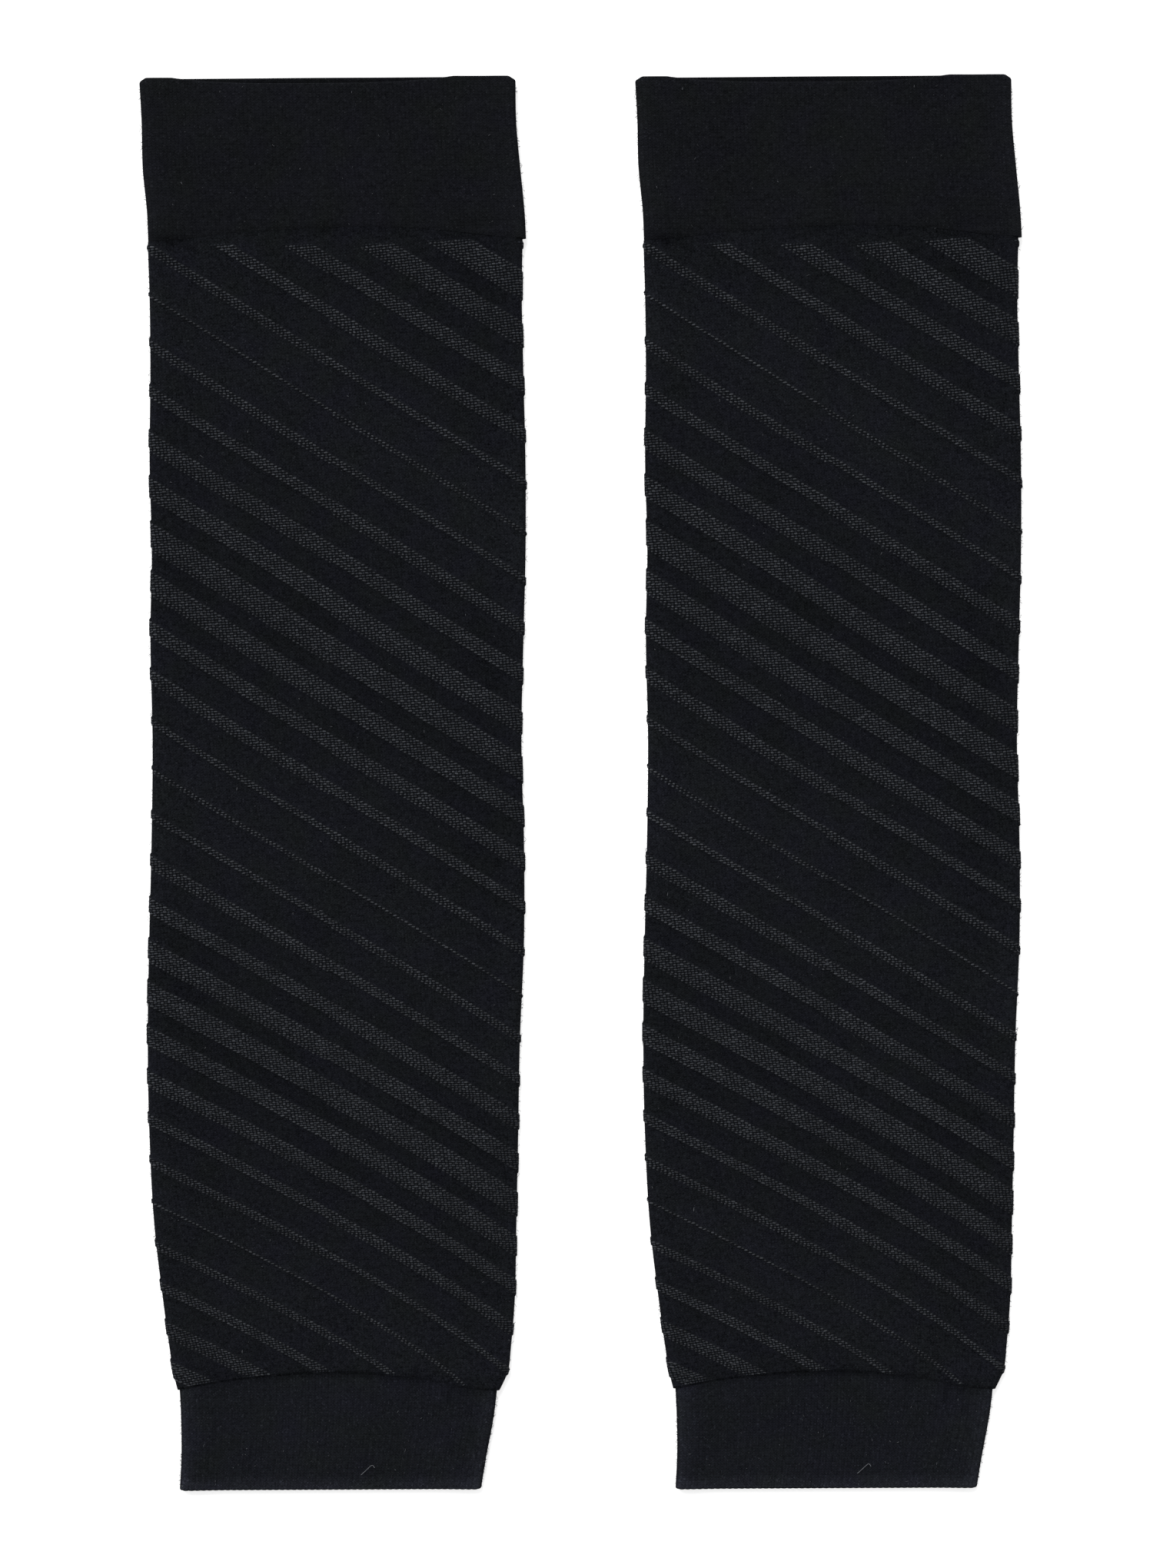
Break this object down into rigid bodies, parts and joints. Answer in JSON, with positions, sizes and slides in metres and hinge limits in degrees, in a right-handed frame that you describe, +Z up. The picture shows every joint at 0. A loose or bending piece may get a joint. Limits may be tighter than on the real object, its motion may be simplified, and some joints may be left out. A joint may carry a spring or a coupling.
{
  "type": "pair of arm sleeves",
  "caption": "Pair of knitted sports arm sleeves laid flat: plain upper cuff, body with raised diagonal stripes that swell and thin, ribbed wrist cuff.",
  "frame": {"origin": "on the surface that the sleeves lie on, at the middle of the pair's outline", "axes": "+Z up from the surface, +Y along the sleeves towards the upper cuffs, +X from the left sleeve to the right one"},
  "size_m": [0.2372, 0.3802, 0.0044],
  "materials": {
    "cuff_knit": "matt black jersey, turned double",
    "striped_knit": "matt black jersey with dark grey float mesh stripes",
    "rib_knit": "matt black fine rib"
  },
  "bodies": {
    "root": {"left_upper_cuff": "cuff_knit", "left_sleeve_body": "striped_knit", "left_lower_cuff": "rib_knit", "right_upper_cuff": "cuff_knit", "right_sleeve_body": "striped_knit", "right_lower_cuff": "rib_knit"}
  },
  "joints": []
}
